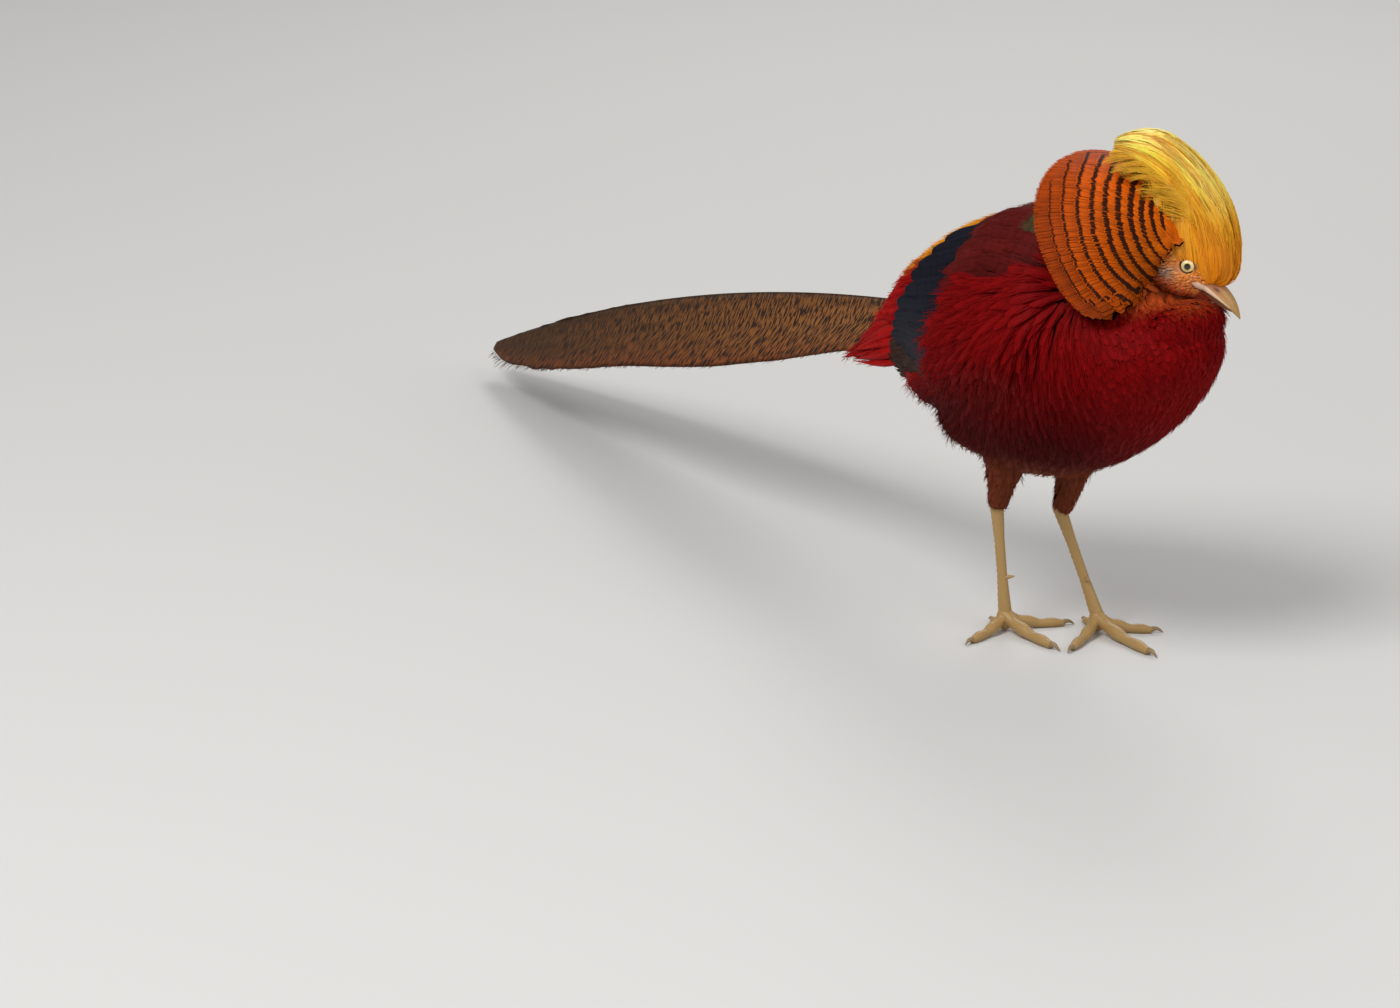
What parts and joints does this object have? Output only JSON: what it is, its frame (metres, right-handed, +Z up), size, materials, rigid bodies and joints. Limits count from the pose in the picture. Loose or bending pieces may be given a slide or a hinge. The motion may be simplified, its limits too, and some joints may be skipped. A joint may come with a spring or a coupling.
{
  "type": "golden pheasant model",
  "caption": "Still, life-size golden pheasant cock for display, standing with its head turned and bowed, golden crest, barred orange cape and long tail held out behind.",
  "frame": {"origin": "on the floor under the middle of the bird's bounding box, between the feet and the tail's tip", "axes": "+X is the way the body faces and the long way of the bird, +Y is to the bird's left, +Z is up"},
  "size_m": [0.8226, 0.1832, 0.338],
  "materials": {
    "plumage_red": "satin",
    "plumage_maroon": "matte",
    "crest_gold": "satin",
    "cape_orange": "satin",
    "wing_dark": "satin",
    "tail_brown": "matte",
    "face_skin": "matte",
    "horn": "satin",
    "leg_scale": "satin",
    "eye_glass": "gloss"
  },
  "bodies": {
    "root": {"torso": "plumage_red", "neck": "plumage_red", "head": "face_skin", "bill_upper": "horn", "bill_lower": "horn", "eye_left": "eye_glass", "eye_right": "eye_glass", "crest": "crest_gold", "cape": "cape_orange", "wing_left": "wing_dark", "wing_right": "wing_dark", "tail": "tail_brown", "tail_coverts": "plumage_red", "thigh_left": "plumage_maroon", "thigh_right": "plumage_maroon", "leg_left": "leg_scale", "leg_right": "leg_scale", "claw_left_inner": "horn", "claw_left_middle": "horn", "claw_left_outer": "horn", "claw_left_hind": "horn", "claw_right_inner": "horn", "claw_right_middle": "horn", "claw_right_outer": "horn", "claw_right_hind": "horn"}
  },
  "joints": []
}
